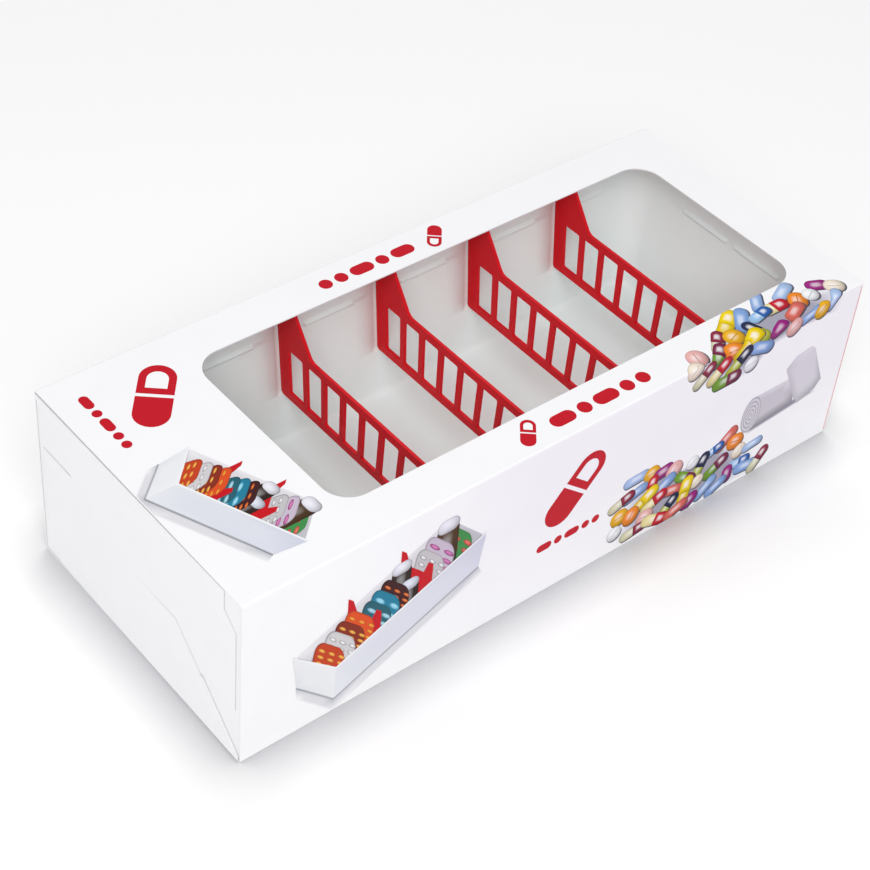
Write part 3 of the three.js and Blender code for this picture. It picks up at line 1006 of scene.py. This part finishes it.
def draw_tray_picture(name, material, corner, along, across, up, scale):
    """An open tray with packs in it, seen from above one corner."""
    sheet = Print(name)
    picture = TrayPicture(sheet, corner, along, across, up)
    front_shadow = [(-0.02, 0, 0), (0.02, 0, -0.42), (1.04, 0, -0.36), (1, 0, 0)]
    picture.quad(front_shadow, "c4c4cc", "ffffff", "ffffff", "c4c4cc")
    end_shadow = [(0, 1.02, 0), (0, 1.0, -0.38), (0, -0.02, -0.42), (0, 0, 0)]
    picture.quad(end_shadow, "c4c4cc", "ffffff", "ffffff", "c4c4cc")
    far_side = [(0, 1, 0.3), (1, 1, 0.3), (1, 1, 1), (0, 1, 1)]
    picture.quad(far_side, "cfcdd2", "d4d2d6", "ece9ec", "f3f1f3")
    far_end = [(1, 0, 0.3), (1, 0, 1), (1, 1, 1), (1, 1, 0.3)]
    picture.quad(far_end, "a8a8ae", "c9c9ce", "dadadd", "b6b6ba")
    bottom = [(0, 0, 0.35), (1, 0, 0.35), (1, 1, 0.35), (0, 1, 0.35)]
    picture.quad(bottom, "8f8489", "6f6a70", "a9a4a8", "b8b2b6")
    picture.card(0.93, 0.1, 0.8, 1.05, "3f8f4a", "d0392c", 2, 2, "f08070")
    picture.bottle(0.87, 0.5, 1.38, 6.0 * scale, "4a3014", "e3e2ea")
    picture.card(0.79, 0.08, 0.92, 1.25, "cdbfd0", "a8327e", 3, 2, "e08cc6")
    picture.card(0.73, 0.1, 0.9, 1.15, "c9c6c8", "a39fa2", 3, 3, "ffffff")
    picture.divider(0.665)
    picture.bottle(0.61, 0.7, 1.1, 5.2 * scale, "2c1a12", "e3e2ea")
    picture.bottle(0.56, 0.26, 1.0, 5.0 * scale, "2c1a12", "d6dbe6")
    picture.card(0.49, 0.1, 0.9, 1.2, "3b0f12", "b8301c", 4, 3, "f08a3a")
    picture.card(0.43, 0.1, 0.9, 1.15, "1f7f9c", "2fb3dc", 2, 2, "aee6f6")
    picture.card(0.38, 0.1, 0.9, 1.05, "23616f", "3b9fc0", 2, 2, "bfe6ee")
    picture.divider(0.315)
    picture.card(0.25, 0.1, 0.9, 1.25, "e4501c", "f0661e", 4, 3, "f9b13a")
    picture.card(0.19, 0.1, 0.9, 1.2, "8a2a14", "e8841c", 4, 3, "fbc65a")
    picture.card(0.13, 0.1, 0.9, 1.15, "d6d3d4", "b4afb1", 3, 3, "ffffff")
    picture.card(0.06, 0.1, 0.9, 1.1, "c9401a", "f07a1e", 3, 3, "fbc65a")
    near_side = [(0, 0, 0), (1, 0, 0), (1.02, -0.05, 1), (0, -0.02, 1)]
    picture.quad(near_side, "eef0f4", "dfe1ec", "d3d6e4", "e9ebf0")
    near_end = [(0, 1, 0), (0, 0, 0), (0, -0.02, 1), (-0.02, 1.04, 1)]
    picture.quad(near_end, "e6e8ec", "f3f4f5", "f4f5f6", "f2f3f5")
    rim = 0.035
    for corners in (
        [(0, -0.02, 1 - rim), (1.02, -0.05, 1 - rim), (1.02, -0.05, 1 + rim), (0, -0.02, 1 + rim)],
        [(-0.02, 1.04, 1 - rim), (0, -0.02, 1 - rim), (0, -0.02, 1 + rim), (-0.02, 1.04, 1 + rim)],
    ):
        picture.quad(corners, "f7f8f9", "f7f8f9", "f7f8f9", "f7f8f9")
    edge = 0.03
    for corners in (
        [(0, 0, -edge), (1, 0, -edge), (1, 0, edge), (0, 0, edge)],
        [(0, 1, -edge), (0, 0, -edge), (0, 0, edge), (0, 1, edge)],
    ):
        picture.quad(corners, "85868c", "85868c", "d9dbe2", "d9dbe2")
    sheet.finish(material)


def draw_gauze(material):
    """A rolled bandage with its end folded over."""
    sheet = Print("print_gauze")
    shadow = [(112, 30.5), (147, 33.5), (160, 35), (150, 39), (112, 36)]
    shadow_core = [(116, 32.5), (142, 34.6), (152, 36), (146, 37), (118, 34.5)]
    sheet.shape([shadow, shadow_core], inks("ffffff", "9a98a4"))
    roll = [(113, 32.3), (142, 36), (141, 45), (137, 54), (113, 54)]
    roll_tones = inks("8f8c95", "8d8a92", "bfbcc3", "e9e7eb", "dedce2")
    sheet.shape([roll, towards(roll, (126, 46), 0.5)], [roll_tones, linear("cfccd2")])
    end = (112.5, 43.2)
    end_half_width = 6.3
    end_half_height = 11.0
    turn_count = 9
    for i in range(turn_count):
        share = 1 - i / turn_count
        tilt = 6 if i % 2 else -6
        outline = [
            (end[0] + x * end_half_width * share, end[1] + y * end_half_height * share)
            for x, y in stadium((0, 0), 2.001, 2, tilt)
        ]
        tone = linear("dcdadf") if i % 2 else linear("b9b6bd")
        sheet.shape([outline, towards(outline, end, 0.7)], [tone, shade(tone, 1.06)])
    flap = [
        (131.5, 61.5), (137, 67.2), (147, 68.6), (150, 66),
        (160.5, 42), (157, 37), (146, 33.6), (142, 39),
    ]
    flap_tones = inks(
        "cfccd3", "e2e0e5", "e6e4e8", "dddbe0",
        "b3b0b8", "aeabb3", "b9b6bd", "c6c3c9",
    )
    sheet.shape([flap, towards(flap, (146, 53), 0.6)], [flap_tones, linear("dddbe0")])
    sheet.finish(material)


def ring_band(sheet, outline, centre, share, colour):
    """A closed band of ink along an outline, open in its middle."""
    inner = towards(outline, centre, share)
    count = len(outline)
    for i in range(count):
        j = (i + 1) % count
        sheet.patch([outline[i], outline[j], inner[j], inner[i]], colour)


def draw_mark(sheet, centre, size, angle):
    """A generic capsule pictogram: one half solid, the other drawn as a thick outline."""
    width = size * 0.44
    half_gap = size * 0.025
    turn = math.radians(angle)
    axis = Vector((math.cos(turn), math.sin(turn)))
    upper = Vector(centre) + axis * half_gap
    lower = Vector(centre) - axis * half_gap
    sheet.patch(half_stadium(tuple(lower), size, width, angle + 180, 14), MARK_RED)
    outline = half_stadium(tuple(upper), size, width, angle, 14)
    middle = upper + axis * size * 0.24
    ring_band(sheet, outline, tuple(middle), 0.58, MARK_RED)


def draw_row(sheet, start, direction, height):
    """Small tablets and capsules in one row."""
    axis = Vector(direction).normalized()
    angle = math.degrees(math.atan2(axis.y, axis.x))
    place = Vector(start)
    gap = height * ROW_GAP
    for share in ROW_LENGTHS:
        length = height * share
        middle = place + axis * length / 2
        sheet.patch(stadium(tuple(middle), length, height, angle, 8), MARK_RED)
        place = place + axis * (length + gap)


def draw_marks(material):
    """Four pictograms, each with its row, and the thin line down the front panel's right edge."""
    sheet = Print("print_marks")
    draw_mark(sheet, (0.5, 58), 39, 50)
    draw_row(sheet, (-18, 30.5), (1, 0), 4.6)
    draw_mark(sheet, (-135.5, top_w(43.5)), 37, 50)
    draw_row(sheet, (-161, top_w(60)), (0, -1), 4.6)
    draw_mark(sheet, (31, top_w(63.5)), 15.5, 230)
    draw_row(sheet, (18, top_w(63)), (-1, 0), 6.6)
    draw_mark(sheet, (-21.5, top_w(-63)), 15.5, 50)
    draw_row(sheet, (-10, top_w(-64.5)), (1, 0), 7.0)
    left = HALF_LENGTH - 1.3
    right = HALF_LENGTH - 0.7
    low = 2
    high = HEIGHT - 2
    sheet.patch([(left, low), (right, low), (right, high), (left, high)], linear("ee9f9a"))
    sheet.finish(material)


# Outlines of the two heaps of tablets, as places on the print
FRONT_HEAP = [
    (31, 6), (30, 26), (37, 42), (50, 42), (62, 34), (76, 36), (92, 38), (103, 34),
    (118, 23), (127, 6), (100, 4), (60, 4),
]
FOLD_HEAP = [
    (63, 87), (70, 84), (88, 76), (105, 76), (113, 86), (132, 88), (160, 87),
    (163, top_w(-66)), (146, top_w(-60)), (130, top_w(-56)), (108, top_w(-57)),
    (88, top_w(-63)), (66, top_w(-71)),
]

set_camera()
set_light()
make_floor()

board = board_material("board", inked=False)
inked_board = board_material("inked_board", inked=True)
tray_plastic = plastic_material("tray_plastic", TRAY_COLOUR, 0.38, 0.01, 0.4)
divider_plastic = plastic_material("divider_plastic", DIVIDER_COLOUR, 0.45, 0.03, 0.18)
dress_node("carton", board, 0)
dress_node("end_lid", board, 0)
make_tray(tray_plastic)
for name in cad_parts:
    if name.startswith("divider"):
        dress_node(name, divider_plastic, DIVIDER_BEVEL)
draw_marks(inked_board)
draw_tray_picture("print_tray_front", inked_board, (-127.5, 8), (75, 34), (-19.5, 20), (0, 19.5), 1.0)
draw_tray_picture(
    "print_tray_top", inked_board, (-172.3, top_w(-5.5)), (23.5, -53.5), (15.3, 13.5), (15.5, 0), 0.8,
)
draw_heap("print_tablets_front", inked_board, 5, FRONT_HEAP, window_cut=False)
draw_heap("print_tablets_fold", inked_board, 11, FOLD_HEAP, window_cut=True)
draw_gauze(inked_board)
